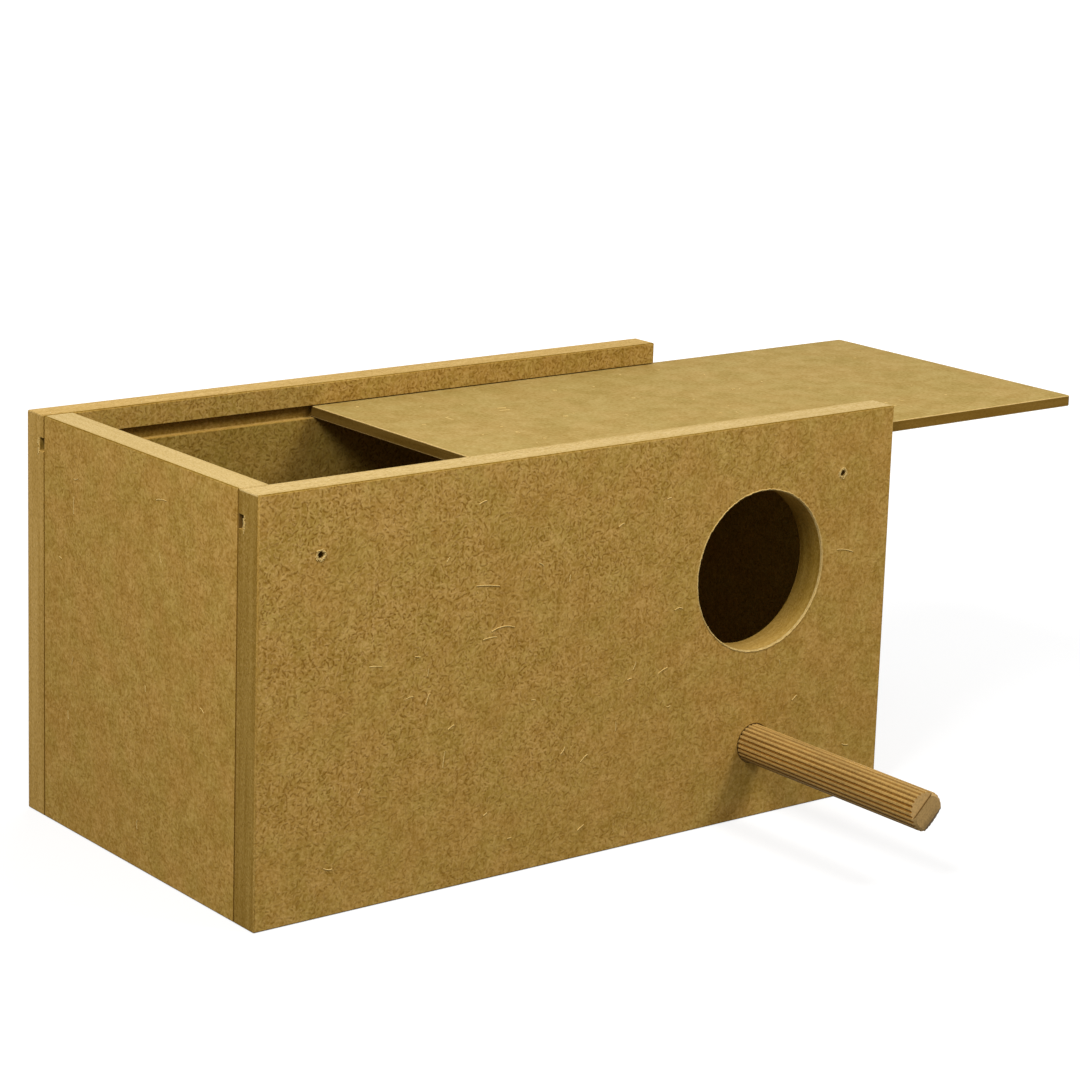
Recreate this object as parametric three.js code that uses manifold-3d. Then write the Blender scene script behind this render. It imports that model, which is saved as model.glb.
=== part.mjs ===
// Budgie nest box of sawn fibreboard with a fluted beech perch under its round entrance.
// The front and back boards run the full length. The two ends and the floor are glued
// between them, and a thin lid slides in two grooves, over the lower right end board.
import * as THREE from "three";
import { mergeVertices } from "three/addons/utils/BufferGeometryUtils.js";
import Module from "manifold-3d";

// Driving dimensions in millimetres. X runs along the box, Y from its front to its back
// and Z up. The origin is the middle of the underside.
const boxLength = 236;
const boxDepth = 127;
const boxHeight = 125;
const boardThickness = 10;
const glueGap = 0.3;               // between the boards of a glued joint

// The grooves that guide the lid, cut along the inner faces of the front and back boards
const grooveFromTop = 7;
const grooveHeight = 4.1;
const grooveDepth = 2.5;

const lidThickness = 3.5;
const lidCornerRadius = 1;
const lidEdgeClearance = 0.3;      // between the lid and the bottom of each groove
const lidRunClearance = 0.3;       // between the lid and the lower side of each groove
const lidStopGap = 0.3;            // between the closed lid and the left end board
const lidOverhang = 2;             // closed lid past the right end of the box
const lidOpening = 86.2;           // how far the lid stands open

const entranceDiameter = 50;
const entranceFromRight = 53;
const entranceHeightShare = 0.632; // of the box's height, up to the entrance's centre

const perchDiameter = 12;
const perchProjection = 77;
const perchCentreHeight = 24;
const perchHoleClearance = 0.25;   // radial, between the perch and its hole
const perchFluteCount = 24;
const perchFluteDepth = 0.55;
const perchEndChamfer = 1;

// The perch was cropped from a longer rod: a flat band is left across its end, with a
// shallow step on one side of it and a steep facet on the other
const croppedBandWidth = 5.7;
const croppedStepDepth = 0.8;
const croppedFacetRun = 3.2;       // along the perch
const croppedFacetWidth = 3.2;     // across the perch
const croppedBandAngle = THREE.MathUtils.degToRad(44);

const wireHoleDiameter = 2;        // for the wires that hang the box on cage bars
const wireHoleFromEnd = 20.6;
const wireHoleFromTop = 19.2;

// The shallow round hollow in the floor that keeps the eggs together
const hollowDiameter = 88;
const hollowDepth = 6;
const hollowFromEndBoard = 9;

const overrun = 2;                 // how far a cutter runs past the face that it opens

// Facets of round forms
const entranceSegments = 72;
const smallHoleSegments = 24;
const hollowSegments = 48;
const hollowRings = 5;
const lidCornerSteps = 4;
const perchSegments = 48;
const flutePoints = 6;             // along the outline of one flute and one ridge
const fluteWidthShare = 0.5;       // of a flute in one flute and one ridge

// Sizes that follow
const halfLength = boxLength / 2;
const halfDepth = boxDepth / 2;
const innerLength = boxLength - 2 * boardThickness;
const innerHalfLength = innerLength / 2;
const innerDepth = boxDepth - 2 * boardThickness;
const innerHalfDepth = innerDepth / 2;
const grooveTop = boxHeight - grooveFromTop;
const grooveFloor = grooveTop - grooveHeight;
const perchRadius = perchDiameter / 2;
const perchLength = boardThickness + perchProjection;
const entranceX = halfLength - entranceFromRight;
const entranceZ = boxHeight * entranceHeightShare;

// Colours of the faces in plain light
const fibreboardFinish = { color: 0x9a7b47, roughness: 0.85, metalness: 0 };
const lidFinish = { color: 0xb4955c, roughness: 0.8, metalness: 0 };
const beechFinish = { color: 0xb0803f, roughness: 0.7, metalness: 0 };

const wasm = await Module();
wasm.setup();

// A closed three.js geometry as a solid that can be joined and cut
function solidOf(geometry) {
  geometry.deleteAttribute("normal");
  geometry.deleteAttribute("uv");
  const merged = mergeVertices(geometry);
  return new wasm.Manifold(new wasm.Mesh({
    numProp: 3,
    vertProperties: new Float32Array(merged.getAttribute("position").array),
    triVerts: new Uint32Array(merged.getIndex().array),
  }));
}

function geometryOf(solid) {
  const mesh = solid.getMesh();
  const geometry = new THREE.BufferGeometry();
  geometry.setAttribute("position", new THREE.BufferAttribute(mesh.vertProperties, 3));
  geometry.setIndex(new THREE.BufferAttribute(mesh.triVerts, 1));
  geometry.computeVertexNormals();
  return geometry;
}

function piece(name, solid, finish) {
  const mesh = new THREE.Mesh(geometryOf(solid), new THREE.MeshStandardMaterial(finish));
  mesh.name = name;
  return mesh;
}

const alongX = new THREE.Vector3(1, 0, 0);
const alongY = new THREE.Vector3(0, 1, 0);
const alongZ = new THREE.Vector3(0, 0, 1);

// An outline of [across, up] points, extruded towards the third axis of a turned frame
function extruded(outline, length, across, up) {
  const shape = new THREE.Shape(outline.map(([u, v]) => new THREE.Vector2(u, v)));
  const geometry = new THREE.ExtrudeGeometry(shape, { depth: length, bevelEnabled: false });
  const outwards = new THREE.Vector3().crossVectors(across, up);
  return geometry.applyMatrix4(new THREE.Matrix4().makeBasis(across, up, outwards));
}

// A round drill along Y, from one Y to another
function drillAlongY(x, z, diameter, fromY, toY, segments) {
  const radius = diameter / 2;
  const drill = new THREE.CylinderGeometry(radius, radius, toY - fromY, segments);
  return solidOf(drill.translate(x, (fromY + toY) / 2, z));
}

// A flat board that fills the space between two corners
function board(low, high) {
  const outline = [[low.x, low.y], [high.x, low.y], [high.x, high.y], [low.x, high.y]];
  const geometry = extruded(outline, high.z - low.z, alongX, alongY);
  return solidOf(geometry.translate(0, 0, low.z));
}

// A long board with the lid's groove, as its section across the box. side is -1 for the
// front and 1 for the back
function longBoard(side) {
  const outerY = side * halfDepth;
  const innerY = side * innerHalfDepth;
  const groovedY = side * (innerHalfDepth + grooveDepth);
  const section = [
    [outerY, 0],
    [innerY, 0],
    [innerY, grooveFloor],
    [groovedY, grooveFloor],
    [groovedY, grooveTop],
    [innerY, grooveTop],
    [innerY, boxHeight],
    [outerY, boxHeight],
  ];
  const geometry = extruded(section, boxLength, alongY, alongZ);
  return solidOf(geometry.translate(-halfLength, 0, 0));
}

function frontPanel() {
  const fromY = -halfDepth - overrun;
  const toY = -innerHalfDepth + overrun;
  const drill = (x, z, diameter, segments) => drillAlongY(x, z, diameter, fromY, toY, segments);
  let panel = longBoard(-1);
  panel = panel.subtract(
    drill(entranceX, entranceZ, entranceDiameter, entranceSegments));
  const perchHoleDiameter = perchDiameter + 2 * perchHoleClearance;
  panel = panel.subtract(
    drill(entranceX, perchCentreHeight, perchHoleDiameter, perchSegments));
  const wireHoleX = halfLength - wireHoleFromEnd;
  for (const x of [-wireHoleX, wireHoleX]) {
    panel = panel.subtract(
      drill(x, boxHeight - wireHoleFromTop, wireHoleDiameter, smallHoleSegments));
  }
  return panel;
}

// An end board, glued between the long boards. side is -1 for the left and 1 for the right
function endPanel(side, height) {
  const faces = [side * halfLength, side * innerHalfLength].sort((a, b) => a - b);
  const halfWidth = innerHalfDepth - glueGap;
  return board(
    new THREE.Vector3(faces[0], -halfWidth, 0),
    new THREE.Vector3(faces[1], halfWidth, height));
}

// The floor, with a hollow that is part of a sphere, at the end away from the entrance
function floorPanel() {
  const halfSpan = innerHalfLength - glueGap;
  const halfWidth = innerHalfDepth - glueGap;
  const panel = board(
    new THREE.Vector3(-halfSpan, -halfWidth, 0),
    new THREE.Vector3(halfSpan, halfWidth, boardThickness));
  const rimRadius = hollowDiameter / 2;
  const sphereRadius = (rimRadius ** 2 + hollowDepth ** 2) / (2 * hollowDepth);
  const rimAngle = Math.asin(rimRadius / sphereRadius);
  const profile = [];
  for (let ring = 0; ring <= hollowRings; ring += 1) {
    const angle = rimAngle * ring / hollowRings;
    const height = sphereRadius * (1 - Math.cos(angle)) - hollowDepth;
    profile.push(new THREE.Vector2(sphereRadius * Math.sin(angle), height));
  }
  profile.push(new THREE.Vector2(rimRadius, overrun), new THREE.Vector2(0, overrun));
  const hollow = new THREE.LatheGeometry(profile, hollowSegments).rotateX(Math.PI / 2);
  const hollowX = -innerHalfLength + hollowFromEndBoard + rimRadius;
  return panel.subtract(solidOf(hollow.translate(hollowX, 0, boardThickness)));
}

// The lid in its closed place, its four corners rounded
function lidPanel() {
  const halfWidth = innerHalfDepth + grooveDepth - lidEdgeClearance - lidCornerRadius;
  const right = halfLength + lidOverhang - lidCornerRadius;
  const left = -innerHalfLength + lidStopGap + lidCornerRadius;
  const centres = [[right, halfWidth], [left, halfWidth], [left, -halfWidth], [right, -halfWidth]];
  const outline = centres.flatMap(([x, y], corner) => {
    const arc = [];
    for (let step = 0; step <= lidCornerSteps; step += 1) {
      const angle = (corner + step / lidCornerSteps) * Math.PI / 2;
      arc.push([x + lidCornerRadius * Math.cos(angle), y + lidCornerRadius * Math.sin(angle)]);
    }
    return arc;
  });
  const geometry = extruded(outline, lidThickness, alongX, alongY);
  return solidOf(geometry.translate(0, 0, grooveFloor + lidRunClearance));
}

// The section of the perch: round ridges with narrow flutes pressed in between them
function flutedOutline() {
  const outline = [];
  const steps = perchFluteCount * flutePoints;
  for (let step = 0; step < steps; step += 1) {
    const place = (step % flutePoints) / flutePoints;
    const dip = place < fluteWidthShare ? Math.sin(Math.PI * place / fluteWidthShare) : 0;
    const radius = perchRadius - perchFluteDepth * dip;
    const angle = 2 * Math.PI * step / steps;
    outline.push([radius * Math.cos(angle), radius * Math.sin(angle)]);
  }
  return outline;
}

// The perch, made along -Y from the origin and placed in its hole afterwards
function perch() {
  const rod = solidOf(extruded(flutedOutline(), perchLength, alongX, alongZ));

  // A turned envelope that chamfers the outer end
  const wide = perchRadius + overrun;
  const profile = [
    [0, -overrun],
    [wide, -overrun],
    [wide, perchLength - perchEndChamfer - overrun],
    [perchRadius - perchEndChamfer, perchLength],
    [0, perchLength],
  ].map(([radius, along]) => new THREE.Vector2(radius, along));
  const envelope = new THREE.LatheGeometry(profile, perchSegments).rotateX(Math.PI);

  // Cutters with outlines of [across the band, along the perch], as long as the perch is
  // wide, laid along the band that they leave standing
  const bandEdge = croppedBandWidth / 2;
  const past = perchLength + overrun;
  const facetSlope = croppedFacetRun / croppedFacetWidth;
  const step = [
    [bandEdge, perchLength - croppedStepDepth],
    [wide, perchLength - croppedStepDepth],
    [wide, past],
    [bandEdge, past],
  ];
  const facet = [
    [-bandEdge, perchLength],
    [-bandEdge, past],
    [-wide, past],
    [-wide, perchLength - (wide - bandEdge) * facetSlope],
  ];
  const acrossBand = new THREE.Vector3(-Math.sin(croppedBandAngle), 0, Math.cos(croppedBandAngle));
  const alongPerch = alongY.clone().negate();
  const alongBand = new THREE.Vector3().crossVectors(acrossBand, alongPerch);
  let cropped = rod.intersect(solidOf(envelope));
  for (const outline of [step, facet]) {
    const cutter = extruded(outline, 2 * wide, acrossBand, alongPerch);
    cutter.translate(-wide * alongBand.x, -wide * alongBand.y, -wide * alongBand.z);
    cropped = cropped.subtract(solidOf(cutter));
  }
  return cropped.translate(entranceX, -innerHalfDepth, perchCentreHeight);
}

const box = new THREE.Group();
box.add(
  piece("front_panel", frontPanel(), fibreboardFinish),
  piece("back_panel", longBoard(1), fibreboardFinish),
  piece("left_end_panel", endPanel(-1, boxHeight), fibreboardFinish),
  piece("right_end_panel", endPanel(1, grooveFloor), fibreboardFinish),
  piece("floor_panel", floorPanel(), fibreboardFinish),
  piece("perch", perch(), beechFinish));

const lid = new THREE.Group();
lid.position.x = lidOpening;
lid.add(piece("sliding_lid", lidPanel(), lidFinish));

const nestBox = new THREE.Group();
nestBox.add(box, lid);

export default nestBox;
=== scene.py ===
import math
import random

import bmesh
import bpy
from mathutils import Matrix, Vector


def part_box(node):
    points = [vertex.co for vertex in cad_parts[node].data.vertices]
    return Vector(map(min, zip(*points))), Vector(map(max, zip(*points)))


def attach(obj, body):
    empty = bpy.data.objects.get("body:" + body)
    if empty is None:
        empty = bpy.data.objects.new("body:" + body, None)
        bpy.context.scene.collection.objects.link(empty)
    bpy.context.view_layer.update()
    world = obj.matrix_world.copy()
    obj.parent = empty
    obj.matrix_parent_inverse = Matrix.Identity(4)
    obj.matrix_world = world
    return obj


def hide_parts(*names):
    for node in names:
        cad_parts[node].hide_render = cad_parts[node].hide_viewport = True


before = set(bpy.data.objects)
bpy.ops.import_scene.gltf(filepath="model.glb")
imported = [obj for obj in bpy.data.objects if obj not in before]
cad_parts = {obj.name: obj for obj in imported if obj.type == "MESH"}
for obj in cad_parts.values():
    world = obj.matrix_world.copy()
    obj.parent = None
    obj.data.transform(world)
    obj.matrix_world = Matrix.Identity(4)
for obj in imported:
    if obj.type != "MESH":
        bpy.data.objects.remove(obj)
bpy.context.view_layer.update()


# The studio: a camera where the photograph was taken from, a soft lamp on either side of the
# front, a weaker one behind, a faint even sky, and a white floor that keeps a soft shadow.

MM = 0.001
WHITE = (1, 1, 1, 1)
TIMES = {"operation": "MULTIPLY"}
LARGER = {"operation": "MAXIMUM"}


def linear(code):
    """The linear colour, with alpha, of an sRGB colour written as six hex digits."""
    shares = [int(code[place:place + 2], 16) / 255 for place in (0, 2, 4)]
    return (*[s / 12.92 if s <= 0.04045 else ((s + 0.055) / 1.055) ** 2.4 for s in shares], 1)


def add(tree, kind, settings=None, inputs=None, out=0):
    """Adds a node, gives it its settings, sets or links its inputs, and returns an output."""
    node = tree.nodes.new(kind)
    for name, value in (settings or {}).items():
        setattr(node, name, value)
    for key, value in (inputs or {}).items():
        if isinstance(value, bpy.types.NodeSocket):
            tree.links.new(value, node.inputs[key])
        else:
            node.inputs[key].default_value = value
    return node.outputs[out] if node.outputs else node


def new_finish(name):
    """A material with an empty node tree, and that tree."""
    finish = bpy.data.materials.new(name)
    finish.use_nodes = True
    finish.node_tree.nodes.clear()
    return finish, finish.node_tree


scene = bpy.context.scene
scene.view_settings.view_transform = "Standard"

# The shift stands for what was cropped away from the right and the foot of the picture
camera = bpy.data.objects.new("camera", bpy.data.cameras.new("camera"))
camera.data.sensor_width = 36
camera.data.lens = 108.34
camera.data.shift_x = 0.05
camera.data.shift_y = -0.10
turned_right = math.radians(37.268)
looking_down = math.radians(12.437)
leaning = math.radians(1.623)
eye = Vector((-584.4, -776.5, 331.8)) * MM
camera.matrix_world = (
    Matrix.Translation(eye)
    @ Matrix.Rotation(-turned_right, 4, "Z")
    @ Matrix.Rotation(math.pi / 2 - looking_down, 4, "X")
    @ Matrix.Rotation(leaning, 4, "Z"))
scene.collection.objects.link(camera)
scene.camera = camera

# The place of each lamp in metres, the side of its soft box and its power in watts. All of
# them look at the middle of the box.
lit_spot = Vector((0, 0, 60)) * MM
for name, place, side, power in (
        ("right_lamp", (0.38, -0.5, 0.78), 0.35, 5.3),
        ("left_lamp", (-0.52, -0.25, 0.73), 0.35, 6.9),
        ("back_lamp", (0.8, 0.8, 0.6), 0.8, 5.5)):
    lamp = bpy.data.objects.new(name, bpy.data.lights.new(name, "AREA"))
    lamp.data.shape = "SQUARE"
    lamp.data.size = side
    lamp.data.energy = power
    lamp.location = place
    lamp.rotation_mode = "QUATERNION"
    lamp.rotation_quaternion = (lit_spot - lamp.location).to_track_quat("-Z", "Y")
    scene.collection.objects.link(lamp)


def seen_directly(tree):
    """1 for what the camera, a reflection or a clear piece shows, and 0 for its light."""
    ray = tree.nodes.new("ShaderNodeLightPath").outputs
    mirrored = add(tree, "ShaderNodeMath", LARGER, {
        0: ray["Is Glossy Ray"], 1: ray["Is Transmission Ray"]})
    return add(tree, "ShaderNodeMath", LARGER, {0: ray["Is Camera Ray"], 1: mirrored})


sky_light = 0.33
scene.world = bpy.data.worlds.new("white_studio")
scene.world.use_nodes = True
tree = scene.world.node_tree
tree.nodes.clear()
brightness = add(tree, "ShaderNodeMapRange", inputs={
    "Value": seen_directly(tree), "To Min": sky_light, "To Max": 1})
add(tree, "ShaderNodeOutputWorld", inputs={
    "Surface": add(tree, "ShaderNodeBackground", inputs={
        "Color": WHITE, "Strength": brightness})})

# Matt white card. Seen directly it is lifted to white, wholly so from far away, and close to
# the box a third of its real shade stays in.
near_card, far_card = 0.3, 0.9
least_lift = 0.69
white_card, tree = new_finish("white_card")
distance = add(tree, "ShaderNodeVectorMath", {"operation": "LENGTH"}, {
    0: add(tree, "ShaderNodeTexCoord", out="Object")}, out="Value")
lift = add(tree, "ShaderNodeMapRange", inputs={
    "Value": distance, "From Min": near_card, "From Max": far_card, "To Min": least_lift,
    "To Max": 1})
shaded = add(tree, "ShaderNodeAddShader", inputs={
    0: add(tree, "ShaderNodeBsdfDiffuse", inputs={"Color": linear("969696")}),
    1: add(tree, "ShaderNodeEmission", inputs={"Color": WHITE, "Strength": lift})})
add(tree, "ShaderNodeOutputMaterial", inputs={
    "Surface": add(tree, "ShaderNodeMixShader", inputs={
        0: seen_directly(tree),
        1: add(tree, "ShaderNodeBsdfDiffuse", inputs={"Color": linear("808078")}),
        2: shaded})})

# The floor lies a hair below the box, so that the two never share a plane
half_floor = 4
floor_drop = 0.1 * MM
floor_mesh = bpy.data.meshes.new("studio_floor")
floor_mesh.from_pydata(
    [(x * half_floor, y * half_floor, -floor_drop)
     for x, y in ((-1, -1), (1, -1), (1, 1), (-1, 1))], [], [(0, 1, 2, 3)])
floor_mesh.materials.append(white_card)
studio_floor = bpy.data.objects.new("studio_floor", floor_mesh)
scene.collection.objects.link(studio_floor)


# The five glued boards: 10 mm medium-density fibreboard, sawn to size, grooved along the
# inside for the lid, drilled, and glued edge to face. Each is the CAD board in one skin,
# with its arrises eased as sandpaper leaves them.

# How wide sandpaper rounded the arrises, and its share beside another piece, where the paper
# hardly reached
arris_ease = 0.45 * MM
sheltered_share = 0.4
# Cuts inside a board, in its grooves and holes, are browner than those at its edges: partly the
# cutters' heat, partly painted shade in these recesses
recess_scorch_and_shade = 1.2
# How much of the core an arris bares, and how brown an upright one is rubbed beside a level one
arris_core = 0.8
upright_share = 0.6

# Which axes of the model a board's length, height and thickness lie on
LENGTHWISE = (0, 2, 1)
ENDWISE = (1, 2, 0)
FLAT = (0, 1, 2)

# The nest chamber below the lid's grooves, from corner to corner, and its mouth above them
NEST = (Vector((-109, -54.5, 5)) * MM, Vector((109, 54.5, 113.5)) * MM)
MOUTH = (Vector((-109, -54.5, 118)) * MM, Vector((109, 54.5, 126)) * MM)

# The middles of the entrance, the perch's foot and the wire holes, on the outside of the
# front board, and boxes round the rims that the drill left pale
front_low, front_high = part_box("front_panel")
back_low, back_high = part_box("back_panel")
entrance, entrance_radius = Vector((65 * MM, front_low.y, 79 * MM)), 25 * MM
perch_foot, perch_radius = Vector((65 * MM, front_low.y, 24 * MM)), 6 * MM
wire_holes = [Vector((side * 97.4 * MM, front_low.y, 105.8 * MM)) for side in (-1, 1)]
drilled = [
    (spot - Vector((reach, MM, reach)), spot + Vector((reach, MM, reach)))
    for spot, reach in (
        (entrance, entrance_radius + MM), (wire_holes[0], 2 * MM), (wire_holes[1], 2 * MM))]

# The room in the grooves that the lid slides through
lid_low, lid_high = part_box("sliding_lid")
lid_way = (
    Vector((front_low.x, lid_low.y, lid_low.z)),
    Vector((front_high.x, lid_high.y, lid_high.z)))


def beside(point, boxes, gap):
    """Whether a point lies in one of the boxes, or closer to it than the gap."""
    return any(
        all(low[axis] - gap < point[axis] < high[axis] + gap for axis in range(3))
        for low, high in boxes)


def eased(node, ease, sheltered=()):
    """A new piece with a CAD solid's form, in one skin, its sharp edges slightly rounded.

    Edges beside the sheltered boxes were sanded less.
    """
    weld, near = 0.01 * MM, 0.5 * MM
    flat, sharp = math.radians(1), math.radians(30)
    skin = bmesh.new()
    skin.from_mesh(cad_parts[node].data)
    bmesh.ops.remove_doubles(skin, verts=skin.verts, dist=weld)
    bmesh.ops.dissolve_limit(skin, angle_limit=flat, verts=skin.verts, edges=skin.edges)
    weight = skin.edges.layers.float.new("bevel_weight_edge")
    for edge in skin.edges:
        middle = (edge.verts[0].co + edge.verts[1].co) / 2
        if edge.calc_face_angle(0) > sharp:
            edge[weight] = sheltered_share if beside(middle, sheltered, near) else 1
    name = "dressed_" + node
    mesh = bpy.data.meshes.new(name)
    skin.to_mesh(mesh)
    skin.free()
    piece = bpy.data.objects.new(name, mesh)
    scene.collection.objects.link(piece)
    rounding = piece.modifiers.new("rounding", "BEVEL")
    rounding.width = ease
    rounding.segments = 3
    rounding.limit_method = "WEIGHT"
    rounding.use_clamp_overlap = False
    rounding.loop_slide = False
    bpy.context.view_layer.update()
    rounded = piece.evaluated_get(bpy.context.evaluated_depsgraph_get())
    piece.data = bpy.data.meshes.new_from_object(rounded)
    piece.data.name = name
    piece.modifiers.clear()
    # Arrises and round cuts shade smoothly, and faces square to an axis stay flat
    straight = 0.9995
    for face in piece.data.polygons:
        face.use_smooth = max(abs(part) for part in face.normal) < straight
    return piece


def lay_grain(piece, axes, start, browning, ease, neighbours=(), pale=()):
    """Gives a board's mesh its place in the sheet that it was sawn from, in millimetres.

    grain holds length and height on the sheet and the depth from its middle. cut is 0 on the
    pressed faces and 1 where the core lies open. browned tells how far the blade polished
    that cut: browning gives it for cuts that look along X, along Y and along Z, and last for
    the top edge, and grooves and holes are a little browner, partly from the cutters' heat and
    partly as painted shade inside these recesses. Loose arrises are rubbed brown, upright ones
    less, except in the pale boxes. glued is 1 on an arris beside a neighbour, where the glue
    soaked in. chamber_shade is 1 on the pressed faces inside the nest and a half on those above
    the lid: painted shade, darkening the inside of the box where less light reaches.
    """
    mesh = piece.data
    along, up, thickness = axes
    # The least share of a normal along one axis that still counts as looking along it
    squarely = 0.99
    low, high = (Vector([pick(vertex.co[axis] for vertex in mesh.vertices) for axis in range(3)])
                 for pick in (min, max))
    middle = (low[thickness] + high[thickness]) / 2
    grain = mesh.attributes.new("grain", "FLOAT_VECTOR", "POINT")
    for vertex, entry in zip(mesh.vertices, grain.data):
        entry.vector = (
            vertex.co[along] / MM + start[0],
            vertex.co[up] / MM + start[1],
            (vertex.co[thickness] - middle) / MM)
    cut, browned, glued, chamber_shade = (
        mesh.attributes.new(name, "FLOAT", "FACE").data
        for name in ("cut", "browned", "glued", "chamber_shade"))
    for face in mesh.polygons:
        spot, normal = face.center, face.normal
        inside = abs(spot[thickness] - middle) < high[thickness] - middle - ease
        arris = max(abs(part) for part in normal) < squarely and not inside
        on_top = up == 2 and spot.z > high.z - ease
        if arris:
            rubbed = upright_share if abs(normal.z) < 0.5 else 1
            bared, polish = arris_core, 0 if beside(spot, pale, 0) else rubbed
        else:
            bared = 1 if inside else 1 - abs(normal[thickness])
            # Grooves and holes are browned more, partly scorching and partly painted shade
            deep = all(low[axis] + ease < spot[axis] < high[axis] - ease for axis in axes)
            polish = browning[3] if on_top else (recess_scorch_and_shade if deep else 1) * sum(
                share * part ** 2 for share, part in zip(browning, normal))
        cut[face.index].value = bared
        browned[face.index].value = polish
        glued[face.index].value = arris and beside(spot, neighbours, ease)
        # Painted shade: faces inside the nest are marked to be darkened fully, and those above the
        # lid by half
        chamber_shade[face.index].value = bared < 1 - squarely and (
            beside(spot, [NEST], 0) + 0.5 * beside(spot, [MOUTH], 0))


TAKEN_OFF = {"operation": "SUBTRACT"}
UNSIGNED = {"operation": "ABSOLUTE"}
SMOOTH = {"interpolation_type": "SMOOTHSTEP"}
COLOURS = {"data_type": "RGBA"}


def fibre_finish(name, greener, redder, sanded, golden, scorched, strokes, speckle, relief):
    """Pressed softwood fibre: curled strokes on its faces, and layers where it was cut.

    greener and redder are the two browns of its faces, and sanded, golden and scorched its
    cuts, from pale to dark. strokes and speckle tell how strongly the curled fibres and the
    fine specks show, and relief how far the fibres stand up.
    """
    finish, tree = new_finish(name)
    grain = add(tree, "ShaderNodeAttribute", {"attribute_name": "grain"}, out="Vector")
    cut, browned, glued, chamber_shade = (
        add(tree, "ShaderNodeAttribute", {"attribute_name": told}, out="Fac")
        for told in ("cut", "browned", "glued", "chamber_shade"))

    # Fibres lie in the plane of the sheet, so every pattern is pressed flat five times over.
    # Places are in millimetres, so a scale is the number of swells or cells per millimetre,
    # and W only picks one random pattern out of many.
    pressed = add(tree, "ShaderNodeVectorMath", TIMES, {0: grain, 1: (1, 1, 5)})
    picked = {"noise_dimensions": "4D"}

    def strokes_of(per_mm, half_length, half_width, seed):
        """One slightly bent fibre in each random cell, darker along one side than the other."""
        moved = add(tree, "ShaderNodeVectorMath", inputs={0: pressed, 1: (seed, seed, seed)})
        cell = add(tree, "ShaderNodeTexVoronoi", inputs={
            "Vector": moved, "Scale": per_mm}, out="Position").node
        chance = tree.nodes.new("ShaderNodeSeparateColor")
        tree.links.new(cell.outputs["Color"], chance.inputs[0])
        offset = add(tree, "ShaderNodeVectorMath", TAKEN_OFF, {
            0: moved, 1: cell.outputs["Position"]})
        turned = add(tree, "ShaderNodeVectorRotate", {"rotation_type": "Z_AXIS"}, {
            "Vector": offset,
            "Angle": add(tree, "ShaderNodeMath", TIMES, {0: chance.outputs[0], 1: math.tau})})
        split = tree.nodes.new("ShaderNodeSeparateXYZ")
        tree.links.new(turned, split.inputs[0])
        along = add(tree, "ShaderNodeMath", UNSIGNED, {0: split.outputs["X"]})
        bow = add(tree, "ShaderNodeMath", TIMES, {
            0: add(tree, "ShaderNodeMath", TIMES, {0: along, 1: along}),
            1: add(tree, "ShaderNodeMapRange", inputs={
                "Value": chance.outputs[1], "To Min": -0.3, "To Max": 0.3})})
        across = add(tree, "ShaderNodeMath", inputs={0: split.outputs["Y"], 1: bow})
        flanks = []
        for middle, reach in ((0.0, 0.9 * half_length), (2.1 * half_width, half_length)):
            within = add(tree, "ShaderNodeMapRange", SMOOTH, {
                "Value": along, "From Min": 0.4 * reach, "From Max": reach,
                "To Min": 1, "To Max": 0})
            away = add(tree, "ShaderNodeMath", UNSIGNED, {
                0: add(tree, "ShaderNodeMath", inputs={0: across, 1: middle})})
            line = add(tree, "ShaderNodeMapRange", SMOOTH, {
                "Value": away, "From Max": 1.5 * half_width, "To Min": 1, "To Max": 0})
            flanks.append(add(tree, "ShaderNodeMath", TIMES, {0: line, 1: within}))
        # Some fibres are mostly dark, some mostly pale, and many barely show
        darker = add(tree, "ShaderNodeMapRange", SMOOTH, {
            "Value": chance.outputs[2], "From Min": 0.2, "From Max": 0.9,
            "To Min": 0.1, "To Max": 1})
        paler = add(tree, "ShaderNodeMapRange", SMOOTH, {
            "Value": chance.outputs[2], "To Min": 0.8, "To Max": 0.25})
        return (
            add(tree, "ShaderNodeMath", TIMES, {0: flanks[0], 1: darker}),
            add(tree, "ShaderNodeMath", TIMES, {0: flanks[1], 1: paler}))

    # From long sparse fibres to short dense ones: cells per millimetre, half a length and half
    # a width in millimetres, and a seed. A single fibre is too fine to show, so each stroke
    # stands for a bundle.
    dark, pale = strokes_of(0.31, 1.8, 0.30, 11)
    for size in ((0.40, 1.3, 0.29, 37), (0.48, 0.95, 0.28, 71), (0.60, 0.65, 0.30, 93)):
        more_dark, more_pale = strokes_of(*size)
        dark = add(tree, "ShaderNodeMath", LARGER, {0: dark, 1: more_dark})
        pale = add(tree, "ShaderNodeMath", LARGER, {0: pale, 1: more_pale})

    # The pressed face: patches of two browns 10 to 20 mm wide, and clouds of 5 to 10 mm
    patches = add(tree, "ShaderNodeMapRange", SMOOTH, {
        "Value": add(tree, "ShaderNodeTexNoise", picked, {
            "Vector": pressed, "W": 53, "Scale": 0.075, "Detail": 3}),
        "From Min": 0.35, "From Max": 0.65})
    face = add(tree, "ShaderNodeMix", COLOURS, {0: patches, 6: greener, 7: redder}, out=2)
    clouds = add(tree, "ShaderNodeMapRange", SMOOTH, {
        "Value": add(tree, "ShaderNodeTexNoise", picked, {
            "Vector": pressed, "W": 17, "Scale": 0.16, "Detail": 2}),
        "From Min": 0.25, "From Max": 0.75, "To Min": 0.91, "To Max": 1.09})

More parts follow.
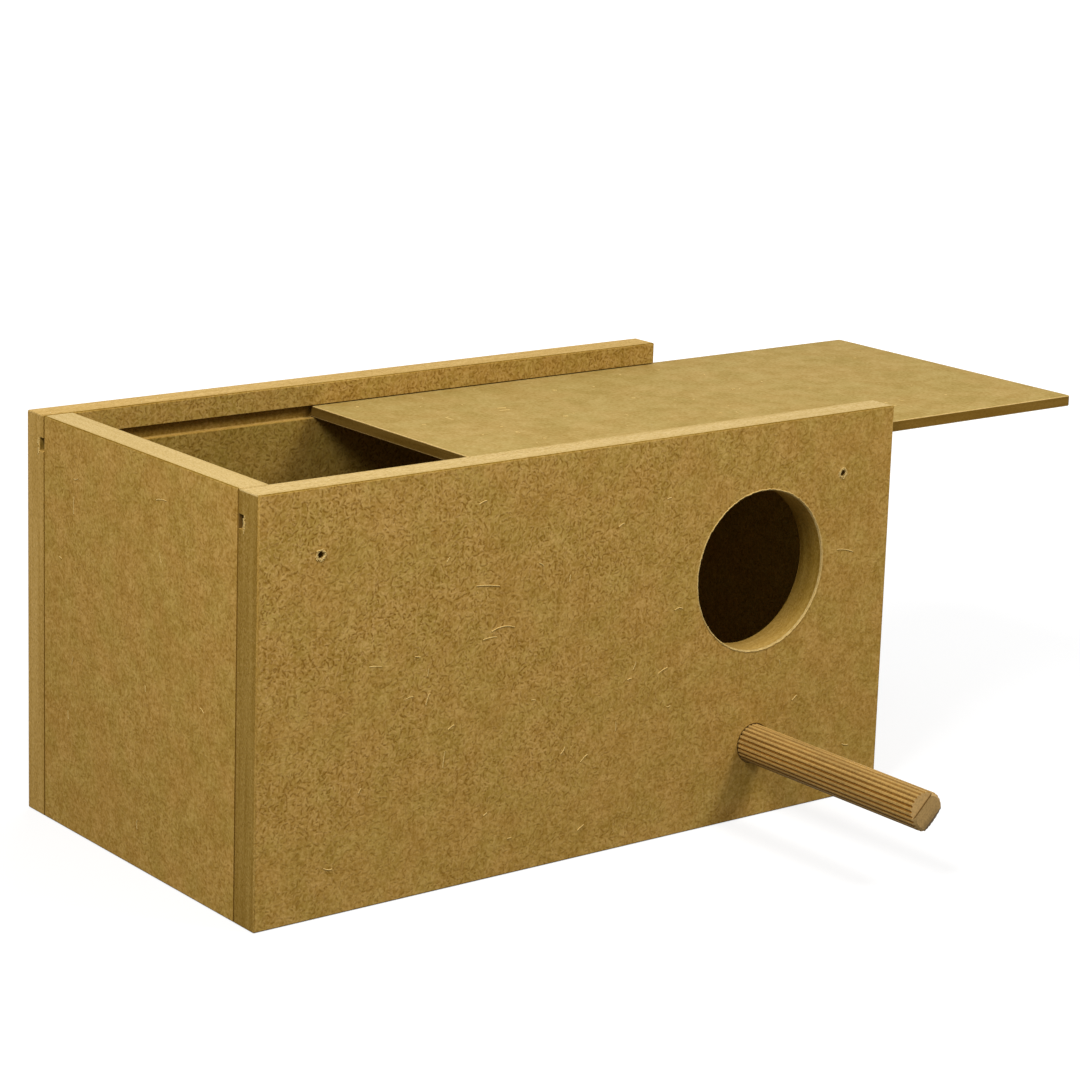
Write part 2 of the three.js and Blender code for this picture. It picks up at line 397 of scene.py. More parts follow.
    # The cut: pale where it was sanded, golden from a sharp saw and brown from a blunt one,
    # darker within 2 mm of the faces and streaked along the sheet
    halfway = add(tree, "ShaderNodeMapRange", inputs={"Value": browned, "From Max": 0.5})
    beyond = add(tree, "ShaderNodeMapRange", inputs={"Value": browned, "From Min": 0.5})
    clean_cut = add(tree, "ShaderNodeMix", COLOURS, {0: halfway, 6: sanded, 7: golden}, out=2)
    open_core = add(tree, "ShaderNodeMix", COLOURS, {
        0: beyond, 6: clean_cut, 7: scorched}, out=2)
    depth = add(tree, "ShaderNodeMath", UNSIGNED, {
        0: add(tree, "ShaderNodeSeparateXYZ", inputs={0: grain}, out=2)})
    layers = add(tree, "ShaderNodeMapRange", SMOOTH, {
        "Value": depth, "From Min": 2.6, "From Max": 4.8, "To Min": 1, "To Max": 0.94})
    drawn_out = add(tree, "ShaderNodeVectorMath", TIMES, {0: grain, 1: (0.04, 0.04, 1)})
    bands = add(tree, "ShaderNodeMapRange", SMOOTH, {
        "Value": add(tree, "ShaderNodeTexNoise", picked, {
            "Vector": drawn_out, "W": 61, "Scale": 0.55, "Detail": 3}),
        "From Min": 0.3, "From Max": 0.7, "To Min": 0.8, "To Max": 1.12})
    streaks = add(tree, "ShaderNodeMath", TIMES, {
        0: layers,
        1: add(tree, "ShaderNodeMix", inputs={
            0: add(tree, "ShaderNodeMapRange", inputs={"Value": browned, "To Min": 0.25}),
            2: 1.0, 3: bands})})

    opened = add(tree, "ShaderNodeMapRange", SMOOTH, {
        "Value": cut, "From Min": 0.15, "From Max": 0.85})
    base = add(tree, "ShaderNodeMix", COLOURS, {0: opened, 6: face, 7: open_core}, out=2)
    specks = add(tree, "ShaderNodeMapRange", SMOOTH, {
        "Value": add(tree, "ShaderNodeTexNoise", picked, {
            "Vector": pressed, "W": 31, "Scale": 0.9, "Detail": 2}),
        "From Min": 0.25, "From Max": 0.75, "To Min": 1 - speckle, "To Max": 1 + speckle})
    shade = add(tree, "ShaderNodeMath", TIMES, {
        0: specks,
        1: add(tree, "ShaderNodeMix", inputs={0: opened, 2: clouds, 3: streaks})})
    # Lighter places are also less yellow
    tinted = add(tree, "ShaderNodeCombineXYZ", inputs={
        0: shade,
        1: add(tree, "ShaderNodeMath", {"operation": "POWER"}, {0: shade, 1: 1.25}),
        2: add(tree, "ShaderNodeMath", {"operation": "POWER"}, {0: shade, 1: 2.3})})
    base = add(tree, "ShaderNodeVectorMath", TIMES, {0: base, 1: tinted})

    # Some places are busier with fibres than others, above all the start and the upper part
    # of the sheet, and cuts show fewer
    busy = add(tree, "ShaderNodeMapRange", SMOOTH, {
        "Value": add(tree, "ShaderNodeTexNoise", picked, {
            "Vector": pressed, "W": 3, "Scale": 0.045, "Detail": 2}),
        "From Min": 0.3, "From Max": 0.7, "To Min": 0.65 * strokes, "To Max": 1.15 * strokes})
    place = tree.nodes.new("ShaderNodeSeparateXYZ")
    tree.links.new(grain, place.inputs[0])
    start_of_sheet = add(tree, "ShaderNodeMapRange", inputs={
        "Value": place.outputs["X"], "From Min": -20, "From Max": 110,
        "To Min": 1, "To Max": 0.5})
    upper_part = add(tree, "ShaderNodeMapRange", inputs={
        "Value": place.outputs["Y"], "From Min": 10, "From Max": 80,
        "To Min": 0.72, "To Max": 1})
    fewer = add(tree, "ShaderNodeMapRange", inputs={"Value": opened, "To Min": 1, "To Max": 0.4})
    amount = add(tree, "ShaderNodeMath", TIMES, {
        0: add(tree, "ShaderNodeMath", TIMES, {0: busy, 1: fewer}),
        1: add(tree, "ShaderNodeMath", TIMES, {0: start_of_sheet, 1: upper_part})})
    for flank, share, colour in ((dark, 0.72, linear("724C0A")), (pale, 0.5, linear("D9B070"))):
        weight = add(tree, "ShaderNodeMath", TIMES, {
            0: amount, 1: add(tree, "ShaderNodeMath", TIMES, {0: flank, 1: share})})
        base = add(tree, "ShaderNodeMix", COLOURS, {0: weight, 6: base, 7: colour}, out=2)

    # Faces inside the nest, and by half those above the lid, are darkened as painted shade, and
    # glue has soaked into the arrises beside a joint
    chamber_shaded = add(tree, "ShaderNodeMix", {**COLOURS, "blend_type": "MULTIPLY"}, {
        0: chamber_shade, 6: base, 7: linear("CFD2BF")}, out=2)
    base = add(tree, "ShaderNodeMix", COLOURS, {0: glued, 6: chamber_shaded, 7: linear("6E4E18")}, out=2)

    raised = add(tree, "ShaderNodeMath", TAKEN_OFF, {
        0: add(tree, "ShaderNodeMath", TIMES, {0: pale, 1: 0.7}), 1: dark})
    normal = add(tree, "ShaderNodeBump", inputs={
        "Strength": 0.6, "Distance": relief, "Height": raised})
    add(tree, "ShaderNodeOutputMaterial", inputs={
        "Surface": add(tree, "ShaderNodeBsdfPrincipled", inputs={
            "Base Color": base, "Roughness": 0.9, "IOR": 1.45, "Specular IOR Level": 0.03,
            "Normal": normal})})
    return finish


# Medium-density fibreboard, sanded on both faces by the mill: softwood fibres pressed with
# resin, matt and dry. The faces show dark and pale curled fibres, 1 to 4 mm long and about
# half a millimetre wide, over slow patches of redder and greener brown.
fibreboard = fibre_finish(
    "fibreboard", greener=linear("A88740"), redder=linear("AD8642"),
    sanded=linear("B29964"), golden=linear("B6914C"), scorched=linear("7E6324"),
    strokes=1.0, speckle=0.18, relief=0.06 * MM)

# Each board's node, its axes, its place on the sheet in millimetres, and how brown its cuts
# are that look along X, along Y and along Z, and its top edge
boards = (
    ("front_panel", LENGTHWISE, (0, 0), (0.83, 0.83, 0.6, 0)),
    ("back_panel", LENGTHWISE, (-300, 240), (0.45, 0.78, 0.5, 0.25)),
    ("left_end_panel", ENDWISE, (190, 505), (0.7, 0.7, 0.7, 0)),
    ("right_end_panel", ENDWISE, (455, 130), (0.7, 0.7, 0.2, 0.1)),
    ("floor_panel", FLAT, (820, 655), (0.7, 0.7, 0.7, 0)))
for node, axes, start, browning in boards:
    neighbours = [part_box(other[0]) for other in boards if other[0] != node]
    neighbours.append(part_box("perch"))
    board = eased(node, arris_ease, neighbours + [lid_way])
    lay_grain(board, axes, start, browning, arris_ease, neighbours, pale=drilled)
    board.data.materials.clear()
    board.data.materials.append(fibreboard)
    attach(board, "box")
    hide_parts(node)


# The glue: a thin brown bead in each joint between the boards, and a ring round the perch,
# just below their surfaces.

# How far the glue lies below the surface, the room between a bead and its boards, and the
# room between the perch and its hole
glue_depth = 0.2 * MM
bead_slack = 0.02 * MM
perch_clearance = 0.25 * MM
ring_steps = 48

# Dried wood glue, stained by sawdust: brown, in clouds about 3 mm wide, and a little shinier
# than the boards
dried_glue, tree = new_finish("dried_wood_glue")
add(tree, "ShaderNodeOutputMaterial", inputs={
    "Surface": add(tree, "ShaderNodeBsdfPrincipled", inputs={
        "Base Color": add(tree, "ShaderNodeMix", COLOURS, {
            0: add(tree, "ShaderNodeTexNoise", inputs={
                "Vector": add(tree, "ShaderNodeTexCoord", out="Object"), "Scale": 0.3 / MM}),
            6: linear("6A4A16"), 7: linear("8E6C2E")}, out=2),
        "Roughness": 0.6, "IOR": 1.5, "Specular IOR Level": 0.3})})

beads = bmesh.new()
walls = (front_high.y, back_low.y)
joints = []
for node in ("left_end_panel", "right_end_panel", "floor_panel"):
    low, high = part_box(node)
    for wall, edge in zip(walls, (low.y, high.y)):
        joints.append((Vector((low.x, min(wall, edge), low.z)),
                       Vector((high.x, max(wall, edge), high.z))))
floor_low, floor_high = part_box("floor_panel")
for wall, edge in ((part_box("left_end_panel")[1].x, floor_low.x),
                   (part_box("right_end_panel")[0].x, floor_high.x)):
    joints.append((Vector((min(wall, edge), floor_low.y, floor_low.z)),
                   Vector((max(wall, edge), floor_high.y, floor_high.z))))
for low, high in joints:
    size = high - low
    thin = min(range(3), key=lambda axis: size[axis])
    inset = Vector([bead_slack if axis == thin else glue_depth for axis in range(3)])
    bead = bmesh.ops.create_cube(beads, size=1)["verts"]
    bmesh.ops.scale(beads, verts=bead, vec=size - 2 * inset)
    bmesh.ops.translate(beads, verts=bead, vec=(low + high) / 2)

# The ring is a rectangle turned about the perch's axis, between the perch and its hole
inner, outer = perch_radius + bead_slack, perch_radius + perch_clearance - bead_slack
near, far = front_low.y + glue_depth, front_high.y - glue_depth
section = [
    beads.verts.new((perch_foot.x + reach, depth, perch_foot.z))
    for reach, depth in ((inner, near), (outer, near), (outer, far), (inner, far))]
outline = [beads.edges.new((section[place - 1], section[place])) for place in range(4)]
bmesh.ops.spin(
    beads, geom=section + outline, cent=perch_foot, axis=(0, 1, 0), angle=math.tau,
    steps=ring_steps, use_merge=True)
bmesh.ops.recalc_face_normals(beads, faces=beads.faces)
glue_mesh = bpy.data.meshes.new("glue_lines")
beads.to_mesh(glue_mesh)
beads.free()
glue_mesh.materials.append(dried_glue)
glue_lines = bpy.data.objects.new("glue_lines", glue_mesh)
scene.collection.objects.link(glue_lines)
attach(glue_lines, "box")


# The raised fibres: long pale slivers of softwood that the sander lifted but didn't cut off,
# lying on the outsides of the boards and on the lid, and short torn ones round the drilled
# holes and at the open ends of the grooves.

# A loose fibre is a few hundredths of a millimetre thick, and is drawn as coarse as it needs
# to show
fibre_thickness = 0.36 * MM
# The heights between which the grooves lie
groove_foot, groove_top = 113.9 * MM, 118 * MM


def run_tree(name, base, sizes, build):
    """Grows a plain mesh from a base mesh with Geometry Nodes whose sizes are named inputs."""
    tree = bpy.data.node_groups.new(name, "GeometryNodeTree")
    for direction in ("INPUT", "OUTPUT"):
        tree.interface.new_socket(
            "Geometry", in_out=direction, socket_type="NodeSocketGeometry")
    kinds = {int: "NodeSocketInt", float: "NodeSocketFloat"}
    sockets = {
        size: tree.interface.new_socket(size, in_out="INPUT", socket_type=kinds[type(value)])
        for size, value in sizes.items()}
    grown = build(tree, tree.nodes.new("NodeGroupInput").outputs)
    tree.links.new(grown, tree.nodes.new("NodeGroupOutput").inputs["Geometry"])
    piece = bpy.data.objects.new(name, base)
    scene.collection.objects.link(piece)
    growth = piece.modifiers.new(name, "NODES")
    growth.node_group = tree
    for size, value in sizes.items():
        growth[sockets[size].identifier] = value
    bpy.context.view_layer.update()
    evaluated = piece.evaluated_get(bpy.context.evaluated_depsgraph_get())
    piece.data = bpy.data.meshes.new_from_object(evaluated)
    piece.data.name = name
    piece.modifiers.clear()
    return piece


# Softwood fibre bleached by sanding: matt and straw-coloured, its tone changing about every
# 4 mm
bleached_fibre, tree = new_finish("bleached_softwood_fibre")
tone = add(tree, "ShaderNodeTexNoise", inputs={
    "Vector": add(tree, "ShaderNodeTexCoord", out="Object"), "Scale": 0.25 / MM})
add(tree, "ShaderNodeOutputMaterial", inputs={
    "Surface": add(tree, "ShaderNodeBsdfPrincipled", inputs={
        "Base Color": add(tree, "ShaderNodeMix", COLOURS, {
            0: tone, 6: linear("B29250"), 7: linear("CFB375")}, out=2),
        "Roughness": 0.85, "IOR": 1.45, "Specular IOR Level": 0.15})})


def fibre_bed(name, places):
    """A mesh of one point per fibre, with its facing, reach, bow and heft as attributes.

    Each place is a point, the way the face looks, a turn in degrees, a reach in millimetres
    and a bow as a share of the reach. Short fibres are also thinner.
    """
    mesh = bpy.data.meshes.new(name)
    mesh.from_pydata([
        place[0] + Vector(place[1]) * chance.uniform(-0.2, 0.2) * fibre_thickness
        for place in places], [], [])
    facing = mesh.attributes.new("facing", "FLOAT_VECTOR", "POINT")
    stretch = mesh.attributes.new("stretch", "FLOAT_VECTOR", "POINT")
    for entry, spread, (_, outwards, turn, reach, bow) in zip(
            facing.data, stretch.data, places):
        out = Vector(outwards)
        level = Vector((1, 0, 0)) if abs(out.z) > 0.5 else Vector((0, 0, 1)).cross(out)
        along = Matrix.Rotation(math.radians(turn), 3, out) @ level
        entry.vector = Matrix((along, out.cross(along), out)).transposed().to_euler()
        spread.vector = (reach * MM, reach * bow * MM, min(1, 0.4 + 0.25 * reach))
    return mesh


def grow_fibres(tree, given):
    """A bent fibre at each point, thinning towards its ends."""
    arc = add(tree, "GeometryNodeCurveQuadraticBezier", inputs={
        "Resolution": 7, "Start": (-0.5, 0, 0), "Middle": (0, 1, 0), "End": (0.5, 0, 0)})
    facing, stretch = (
        add(tree, "GeometryNodeInputNamedAttribute", {"data_type": "FLOAT_VECTOR"}, {
            "Name": key}) for key in ("facing", "stretch"))
    laid = add(tree, "GeometryNodeInstanceOnPoints", inputs={
        "Points": given["Geometry"], "Instance": arc,
        "Rotation": add(tree, "FunctionNodeEulerToRotation", inputs={0: facing}),
        "Scale": stretch})
    lines = add(tree, "GeometryNodeRealizeInstances", inputs={0: laid})
    place = add(tree, "GeometryNodeSplineParameter", out="Factor")
    swell = add(tree, "ShaderNodeMath", {"operation": "SINE"}, {
        0: add(tree, "ShaderNodeMath", TIMES, {0: place, 1: math.pi})})
    heft = add(tree, "ShaderNodeSeparateXYZ", inputs={0: stretch}, out=2)
    width = add(tree, "ShaderNodeMath", TIMES, {
        0: heft,
        1: add(tree, "ShaderNodeMapRange", inputs={
            "Value": swell, "To Min": 0.35, "To Max": 1})})
    tapered = add(tree, "GeometryNodeSetCurveRadius", inputs={"Curve": lines, "Radius": width})
    section = add(tree, "GeometryNodeCurvePrimitiveCircle", inputs={
        "Resolution": 5,
        "Radius": add(tree, "ShaderNodeMath", TIMES, {0: given["Thickness"], 1: 0.5})})
    solid = add(tree, "GeometryNodeCurveToMesh", inputs={
        "Curve": tapered, "Profile Curve": section, "Fill Caps": True})
    return add(tree, "GeometryNodeSetMaterial", inputs={
        "Geometry": solid, "Material": bleached_fibre})


chance = random.Random(7)

# Fibres that catch the eye: along and up on the board in millimetres, turn in degrees, reach
# in millimetres and bow
FRONT, LEFT, BACK, RIGHT = (0, -1, 0), (-1, 0, 0), (0, 1, 0), (1, 0, 0)
places = [
    (Vector((x * MM, front_low.y, z * MM)), FRONT, turn, reach, bow)
    for x, z, turn, reach, bow in (
        (-39.6, 88.9, -8, 8.4, 0.04), (-33.7, 75.2, 1, 8.2, 0.2), (-38.3, 73.1, 2, 5.0, 0.1),
        (32.6, 71.5, 3, 2.9, 0.3), (-20.4, 92.7, -32, 1.8, 0.1), (27.3, 53.2, 21, 3.7, 0.1),
        (9.2, 100.6, 23, 2.2, 0.1), (14.4, 52.6, 8, 1.6, 0.1), (99.9, 80.7, -13, 7.0, 0.1),
        (9.7, 38.7, -89, 2.8, 0.1), (-53.7, 39.4, 82, 4.8, 0.05), (-78.4, 70.9, -7, 4.2, 0.05),
        (-2.0, 30.8, 36, 3.3, 0.1), (-21.7, 51.9, -9, 1.6, 0.2), (-51.4, 48.7, 25, 2.4, 0.1),
        (-53.9, 98.6, 53, 1.6, 0.1), (74.6, 48.5, -73, 1.8, 0.1), (27.2, 106.4, 9, 1.6, 0.1),
        (-42.2, 113.8, 17, 2.9, 0.1), (-60.0, 58.5, 70, 3.6, 0.1), (-66.3, 59.9, 5, 2.5, 0.1))]
places += [
    (Vector((front_low.x, y * MM, z * MM)), LEFT, turn, reach, bow)
    for y, z, turn, reach, bow in ((35.6, 101.3, 88, 5.2, 0.06), (-13.5, 113.2, 8, 5.6, 0.1))]

# Loose fibres lie anywhere on a wall: the way it looks, a lower corner in metres, its width
# and height in millimetres, and how many lie there. On the front they keep below the wire
# holes and off the entrance and the perch.
hole_margin = 4 * MM
for outwards, corner, width, height, count in (
        (FRONT, Vector((front_low.x, front_low.y, 0)), Vector((236, 0, 0)), 108, 14),
        (BACK, Vector((back_low.x, back_high.y, 0)), Vector((236, 0, 0)), 125, 50),
        (LEFT, Vector((front_low.x, back_low.y, 0)), Vector((0, -107, 0)), 125, 8),
        (RIGHT, Vector((front_high.x, front_high.y, 0)), Vector((0, 107, 0)), 113, 20)):
    for _ in range(count):
        place = corner + (width * chance.uniform(0.04, 0.96)
                          + Vector((0, 0, height * chance.uniform(0.05, 0.95)))) * MM
        turn, reach, bow = (
            chance.uniform(-90, 90), chance.triangular(1.2, 4, 1.6), chance.uniform(-0.25, 0.25))
        clear = outwards != FRONT or (
            (place - entrance).length > entrance_radius + hole_margin
            and (place - perch_foot).length > perch_radius + hole_margin)
        if clear:
            places.append((place, outwards, turn, reach, bow))

# Torn fibres stand round each hole like a frayed ring: a wide one in short fibres round the
# wire holes, and a narrow one in longer fibres round the entrance. For each, how many there
# are, between which radii, the longest in millimetres and how far they lean in degrees.
for hole, count, narrow, wide, longest, lean in (
        (wire_holes[0], 50, 1.15 * MM, 1.65 * MM, 1.1, 50),
        (wire_holes[1], 50, 1.15 * MM, 1.65 * MM, 1.1, 50),
        (entrance, 200, entrance_radius + 0.3 * MM, entrance_radius + 0.5 * MM, 2.2, 8)):
    for step in range(count):
        angle = math.tau * step / count
        place = hole + chance.uniform(narrow, wide) * Vector((math.cos(angle), 0, math.sin(angle)))
        turn = math.degrees(angle) + 90 + chance.uniform(-lean, lean)
        places.append((place, FRONT, turn, chance.uniform(0.5, 1) * longest, 0))

# The grooving cutter broke fibres out along the edge of each notch
torn_per_notch = 14
for y, side in ((front_high.y, -1), (back_low.y, 1)):
    for _ in range(torn_per_notch):
        place = Vector((
            front_low.x,
            y + side * chance.uniform(2.6, 3.5) * MM,
            chance.uniform(groove_foot - 0.8 * MM, groove_top - 0.4 * MM)))
        places.append((place, LEFT, 90 + chance.uniform(-30, 30), chance.uniform(0.8, 1.6), 0.1))

raised_fibres = run_tree("raised_fibres", fibre_bed("fibre_bed", places), {
    "Thickness": fibre_thickness}, grow_fibres)
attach(raised_fibres, "box")


# The sliding lid: a sheet of thin fibreboard, pressed smooth and paler than the boards,
# sawn to width and slid into the grooves from the right.

lid_ease = 0.25 * MM

# Thin fibreboard, pressed smooth between polished plates: greyer than the boards, with faint
# fibres, and dark brown where it was sawn
thin_fibreboard = fibre_finish(
    "thin_fibreboard", greener=linear("988147"), redder=linear("9C8249"),
    sanded=linear("C2A468"), golden=linear("96702C"), scorched=linear("624A1C"),
    strokes=0.3, speckle=0.11, relief=0.03 * MM)
# Every arris of the lid is left pale: the bared core, and partly a painted highlight along the
# arris lines
whole_lid = (lid_low - Vector((MM, MM, MM)), lid_high + Vector((MM, MM, MM)))
lid = eased("sliding_lid", lid_ease)
lay_grain(lid, FLAT, (300, 900), (1.0, 0.78, 0.5, 0), lid_ease, pale=[whole_lid])
lid.data.materials.clear()
lid.data.materials.append(thin_fibreboard)
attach(lid, "lid")
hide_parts("sliding_lid")

# Three fibres that catch the eye, and smaller ones anywhere clear of the grooves
LID = (0, 0, 1)
lid_margin = 7 * MM
lid_fibre_count = 40
places = [
    (Vector((x * MM, y * MM, lid_high.z)), LID, turn, reach, 0.05)
    for x, y, turn, reach in ((5.0, 17.0, 90, 4.1), (27.5, 18.5, -4, 4.1), (28.7, 21.5, -15, 3.1))]
for _ in range(lid_fibre_count):
    place = Vector((
        chance.uniform(lid_low.x + lid_margin, lid_high.x - lid_margin),
        chance.uniform(lid_low.y + lid_margin, lid_high.y - lid_margin), lid_high.z))
    places.append((place, LID, chance.uniform(-90, 90), chance.uniform(0.7, 1.8), 0.1))
lid_fibres = run_tree("lid_fibres", fibre_bed("lid_fibre_bed", places), {
    "Thickness": fibre_thickness}, grow_fibres)
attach(lid_fibres, "lid")


# The perch: a beech rod with pressed flutes, glued into its hole and cropped from a longer
# length with pliers, which left a flat band, a step and a broken slope across its end.

SCALED = {"operation": "SCALE"}
perch_low, perch_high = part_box("perch")
perch_middle = Vector((perch_foot.x, (perch_low.y + perch_high.y) / 2, perch_foot.z))
# Mesh steps in each flute, the tilts of the step and of the slope, and the band's direction
# about the rod
flute_steps = 12
step_tilt, slope_tilt, band_turn = math.radians(16), math.radians(34), math.radians(134)


def crop_perch(tree, given):
    """A fluted rod, its outer end chamfered all round and then cropped across."""
    length, radius, flutes = given["Length"], given["Radius"], given["Flutes"]
    rod = add(tree, "GeometryNodeMeshCylinder", {"fill_type": "TRIANGLE_FAN"}, {
        "Vertices": add(tree, "ShaderNodeMath", TIMES, {0: flutes, 1: flute_steps}),
        "Side Segments": 1, "Fill Segments": 1, "Radius": radius, "Depth": length})

    # Each flute dips smoothly from the rod's surface over two thirds of its pitch
    spot = add(tree, "GeometryNodeInputPosition")
    split = tree.nodes.new("ShaderNodeSeparateXYZ")
    tree.links.new(spot, split.inputs[0])
    angle = add(tree, "ShaderNodeMath", {"operation": "ARCTAN2"}, {
        0: split.outputs["Y"], 1: split.outputs["X"]})
    turns = add(tree, "ShaderNodeMath", TIMES, {0: angle, 1: 1 / math.tau})
    pitches = add(tree, "ShaderNodeMath", TIMES, {0: turns, 1: flutes})
    from_middle = add(tree, "ShaderNodeMath", UNSIGNED, {
        0: add(tree, "ShaderNodeMath", TAKEN_OFF, {
            0: add(tree, "ShaderNodeMath", {"operation": "FRACT"}, {0: pitches}), 1: 0.5})})
    dip = add(tree, "ShaderNodeMapRange", SMOOTH, {
        "Value": from_middle, "From Max": 1 / 3, "To Min": 1, "To Max": 0})
    sunk = add(tree, "ShaderNodeMath", TIMES, {
        0: dip,
        1: add(tree, "ShaderNodeMath", {"operation": "DIVIDE"}, {
            0: given["Flute Depth"], 1: radius})})
    inwards = add(tree, "ShaderNodeVectorMath", SCALED, {
        0: add(tree, "ShaderNodeVectorMath", TIMES, {0: spot, 1: (-1, -1, 0)}),
        "Scale": sunk})
    fluted = add(tree, "GeometryNodeSetPosition", inputs={"Geometry": rod, "Offset": inwards})

    # A 45 degree cone round the whole rod takes off the corner of its end
    narrow = add(tree, "ShaderNodeMath", TAKEN_OFF, {0: radius, 1: given["Chamfer"]})
    cone = add(tree, "GeometryNodeMeshCone", inputs={
        "Vertices": 96, "Radius Top": narrow, "Depth": length,
        "Radius Bottom": add(tree, "ShaderNodeMath", inputs={0: narrow, 1: length})})
    foot = add(tree, "ShaderNodeMath", TIMES, {0: length, 1: -0.5})
    centred = add(tree, "GeometryNodeTransform", inputs={
        "Geometry": cone, "Translation": add(tree, "ShaderNodeCombineXYZ", inputs={2: foot})})
    closed = {"solver": "MANIFOLD"}
    cropped = add(tree, "GeometryNodeMeshBoolean", {**closed, "operation": "INTERSECT"}, {
        "Mesh 2": fluted})
    tree.links.new(centred, cropped.node.inputs["Mesh 2"])

    # The pliers' jaws: one left a step beside the flat band, which falls away from it a
    # little, the other a slope. A jaw is a cube whose underside is tilted about the rod's
    # axis, shifted to its side of the band and then turned to the band's direction.
    tip = add(tree, "ShaderNodeMath", TIMES, {0: length, 1: 0.5})
    step_height = add(tree, "ShaderNodeMath", TAKEN_OFF, {0: tip, 1: given["Step Depth"]})
    reach = add(tree, "ShaderNodeMath", TIMES, {0: radius, 1: 4})
    half_reach = add(tree, "ShaderNodeMath", TIMES, {0: reach, 1: 0.5})
    half_band, other_half_band = (
        add(tree, "ShaderNodeMath", TIMES, {0: given["Band Width"], 1: share})
        for share in (0.5, -0.5))
    jaw = add(tree, "GeometryNodeMeshCube", inputs={
        "Size": add(tree, "ShaderNodeCombineXYZ", inputs={0: reach, 1: reach, 2: reach})})
    for set_off, tilt, edge, height in (
            (half_reach, step_tilt, half_band, step_height),
            (0, -slope_tilt, other_half_band, tip)):
        standing = add(tree, "GeometryNodeTransform", inputs={
            "Geometry": jaw,
            "Translation": add(tree, "ShaderNodeCombineXYZ", inputs={
                0: set_off, 2: half_reach})})
        tilted = add(tree, "GeometryNodeTransform", inputs={
            "Geometry": standing, "Rotation": (0, tilt, 0),
            "Translation": add(tree, "ShaderNodeCombineXYZ", inputs={0: edge, 2: height})})
        cropped = add(tree, "GeometryNodeMeshBoolean", closed, {
            "Mesh 1": cropped,
            "Mesh 2": add(tree, "GeometryNodeTransform", inputs={
                "Geometry": tilted, "Rotation": (0, 0, band_turn)})})
    return add(tree, "GeometryNodeSetMaterial", inputs={
        "Geometry": add(tree, "GeometryNodeRealizeInstances", inputs={
            0: add(tree, "GeometryNodeTransform", inputs={
                "Geometry": cropped, "Rotation": (math.pi / 2, 0, 0),
                "Translation": perch_middle})}),
        "Material": beech})


# Bare beech: straight grain along the rod, tan ridges with fine cross marks from the
# fluting rollers, and brown flutes, partly bruised wood and partly painted shade in the
# hollows. The flutes fade towards the ridges' tan on top, a painted highlight, and the
# underside is darkened, painted shade. The end grain is greyer, and its step's riser and
# downward slope are painted dark as painted shade.
beech, tree = new_finish("beech")
spot = add(tree, "ShaderNodeTexCoord", out="Object")
from_axis = add(tree, "ShaderNodeVectorMath", {"operation": "LENGTH"}, {
    0: add(tree, "ShaderNodeVectorMath", TIMES, {
        0: add(tree, "ShaderNodeVectorMath", TAKEN_OFF, {0: spot, 1: perch_middle}),
        1: (1, 0, 1)})}, out="Value")

# The ridges are what lies between these distances from the rod's axis
ridge_foot, ridge_top = 5.74 * MM, 5.99 * MM
ridge = add(tree, "ShaderNodeMapRange", SMOOTH, {
    "Value": from_axis, "From Min": ridge_foot, "From Max": ridge_top})

# The streaks of the grain, the rollers' cross marks and the open pores: for each, its swells
# per millimetre across the rod and along it, its detail, the part of the noise that shows
# and how dark and how light it makes the wood
streak, tick, pores = (
    add(tree, "ShaderNodeMapRange", SMOOTH, {
        "Value": add(tree, "ShaderNodeTexNoise", inputs={
            "Vector": add(tree, "ShaderNodeVectorMath", TIMES, {
                0: spot, 1: (across / MM, along / MM, across / MM)}),
            "Scale": 1, "Detail": detail}),
        "From Min": low, "From Max": high, "To Min": darkest, "To Max": lightest})
    for across, along, detail, low, high, darkest, lightest in (
        (0.7, 0.04, 3, 0.3, 0.7, 0.86, 1.12), (0.5, 1.8, 2, 0.35, 0.65, 0.9, 1.08),
        (1.6, 0.3, 2, 0.35, 0.6, 0.84, 1.05)))
end_grain = add(tree, "ShaderNodeAttribute", {"attribute_name": "end_grain"}, out="Fac")
height = add(tree, "ShaderNodeSeparateXYZ", inputs={0: spot}, out=2)
# Painted light and shade: the flutes fade into the ridges' colour on top, and the whole side
# darkens towards the underside
painted_top_light = add(tree, "ShaderNodeMapRange", SMOOTH, {
    "Value": height, "From Min": perch_foot.z + 2 * MM, "From Max": perch_foot.z + 6 * MM,
    "To Max": 0.6})
painted_underside_shade = add(tree, "ShaderNodeMapRange", SMOOTH, {
    "Value": height, "From Min": perch_foot.z - 6 * MM, "From Max": perch_foot.z + 1 * MM,
    "To Min": 0.62, "To Max": 1})
# The flutes' dark brown is partly bruised wood and partly painted shade in the hollows
side = add(tree, "ShaderNodeMix", COLOURS, {
    0: add(tree, "ShaderNodeMath", LARGER, {0: ridge, 1: painted_top_light}),
    6: linear("7C5210"), 7: linear("A48246")}, out=2)
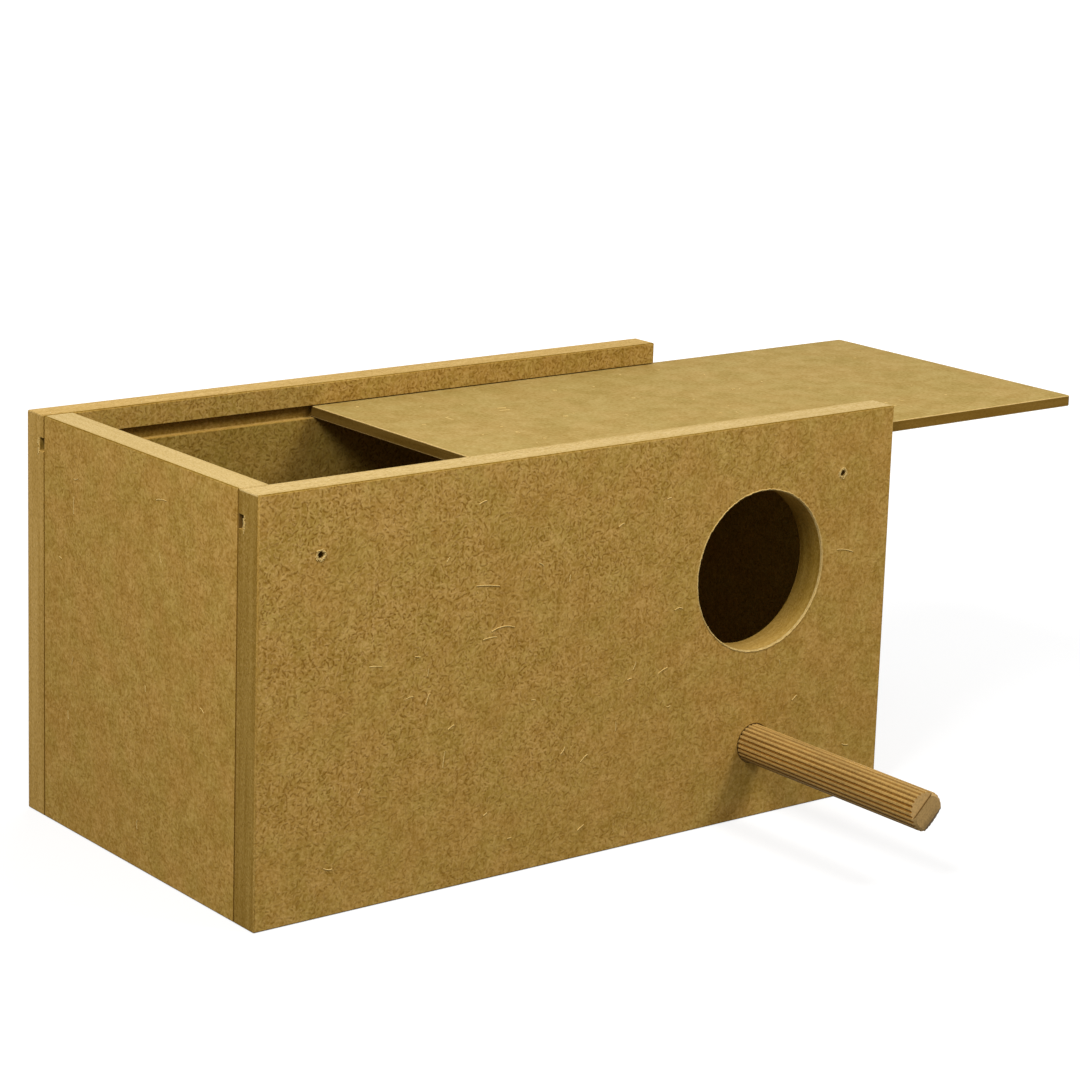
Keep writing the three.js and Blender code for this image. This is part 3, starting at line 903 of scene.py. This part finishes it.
side = add(tree, "ShaderNodeVectorMath", SCALED, {0: side, "Scale": painted_underside_shade})
marks = add(tree, "ShaderNodeMath", TIMES, {0: streak, 1: tick})
side = add(tree, "ShaderNodeVectorMath", SCALED, {0: side, "Scale": marks})
sawn = add(tree, "ShaderNodeVectorMath", SCALED, {
    0: linear("AE8C56")[:3], "Scale": pores})
colour = add(tree, "ShaderNodeMix", COLOURS, {0: end_grain, 6: side, 7: sawn}, out=2)
# Painted shade: the step's riser and the downward slope of the end are painted dark brown
painted_end_shade = add(tree, "ShaderNodeAttribute", {"attribute_name": "painted_end_shade"}, out="Fac")
colour = add(tree, "ShaderNodeMix", COLOURS, {0: painted_end_shade, 6: colour, 7: linear("5E451C")}, out=2)
add(tree, "ShaderNodeOutputMaterial", inputs={
    "Surface": add(tree, "ShaderNodeBsdfPrincipled", inputs={
        "Base Color": colour, "Roughness": 0.7, "IOR": 1.45, "Specular IOR Level": 0.3,
        "Normal": add(tree, "ShaderNodeBump", inputs={
            "Strength": 0.5, "Distance": 0.05 * MM, "Height": marks})})})

perch = run_tree("fluted_perch", bpy.data.meshes.new("fluted_perch"), {
    "Radius": perch_radius, "Length": perch_high.y - perch_low.y, "Flutes": 24,
    "Flute Depth": 0.48 * MM, "Chamfer": 1 * MM, "Band Width": 5.7 * MM,
    "Step Depth": 0.8 * MM}, crop_perch)
# end_grain is 1 on faces across the rod, and painted_end_shade is 1 on the step's riser, which is
# steep and lies deeper than the flutes, and on the slope, which looks out, to the right and down;
# both are painted dark as painted shade
deepest_flute = perch_radius - 0.7 * MM
end_grain, painted_end_shade = (
    perch.data.attributes.new(name, "FLOAT", "FACE").data for name in ("end_grain", "painted_end_shade"))
for face in perch.data.polygons:
    normal, from_axis = face.normal, (face.center - perch_middle).xz.length
    end_grain[face.index].value = min(1, abs(normal.y) * 1.4)
    riser = abs(normal.y) < 0.5 and from_axis < deepest_flute
    slope = -0.9 < normal.y < -0.75 and normal.x > 0.2 and normal.z < -0.2
    painted_end_shade[face.index].value = riser or slope
perch.data.shade_smooth()
perch.data.set_sharp_from_angle(angle=math.radians(35))
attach(perch, "box")
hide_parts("perch")
